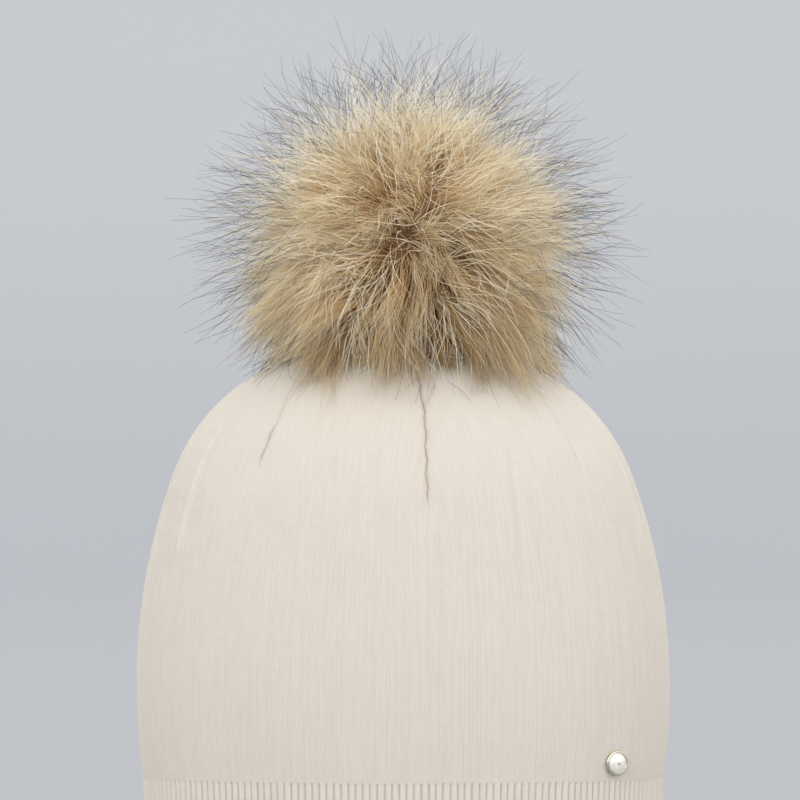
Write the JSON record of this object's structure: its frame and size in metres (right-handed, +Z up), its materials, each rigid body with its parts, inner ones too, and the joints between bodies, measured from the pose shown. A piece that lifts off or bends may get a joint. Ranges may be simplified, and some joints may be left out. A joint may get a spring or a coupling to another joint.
{
  "type": "pom pom beanie",
  "caption": "Double-layered fine-knit beanie with a ribbed band and a detachable fur pom pom; keeps the head warm.",
  "frame": {"origin": "middle of the rim, on the surface that the rim stands on", "axes": "+Z up from the rim through the crown and the pom pom, -Y to the front of the hat, +X along its width towards the badge"},
  "size_m": [0.2136, 0.148, 0.34],
  "materials": {
    "knit": "matte",
    "rib_knit": "matte",
    "lining_knit": "matte",
    "sewing_thread": "matte",
    "label_cloth": "satin",
    "pale_gold": "polished",
    "snap_metal": "satin",
    "spring_wire": "satin",
    "felt": "matte",
    "pelt_leather": "matte",
    "stuffing": "matte",
    "fur": "matte"
  },
  "bodies": {
    "hat": {"outer_shell": "knit", "rib_band": "rib_knit", "lining": "lining_knit", "shell_to_rib_seam": "sewing_thread", "lining_to_rib_seam": "sewing_thread", "crown_gather_thread": "sewing_thread", "outer_dart_seams": "sewing_thread", "lining_dart_seams": "sewing_thread", "care_label": "label_cloth", "care_label_stitches": "sewing_thread", "badge_bezel": "pale_gold", "badge_cap": "pale_gold", "badge_center": "pale_gold", "badge_post": "snap_metal", "badge_backing_washer": "snap_metal", "crown_patch": "felt", "snap_post_cap": "snap_metal", "snap_stud": "snap_metal"},
    "spring_ring": {"socket_spring": "spring_wire"},
    "socket": {"snap_socket": "snap_metal", "socket_backing_disc": "felt", "socket_rivet": "snap_metal"},
    "pom": {"pom_pelt": "pelt_leather", "pom_stuffing": "stuffing", "pom_fur": "fur", "shank_thread": "sewing_thread", "gathering_thread": "sewing_thread", "closing_stitches": "sewing_thread"}
  },
  "joints": [
    {"name": "pom_unsnap", "type": "slide", "parent": "hat", "child": "spring_ring", "axis": [0, 0, 1], "range_m": [0, 0.04]},
    {"name": "pom_spin", "type": "hinge", "parent": "spring_ring", "child": "socket", "pos_m": [0, 0, 0.226], "axis": [0, 0, 1], "continuous": true},
    {"name": "pom_lean", "type": "hinge", "parent": "socket", "child": "pom", "pos_m": [0, 0, 0.231], "axis": [0, 1, 0], "range_deg": [-10, 10], "stiffness_Nm_per_rad": 0.8}
  ]
}
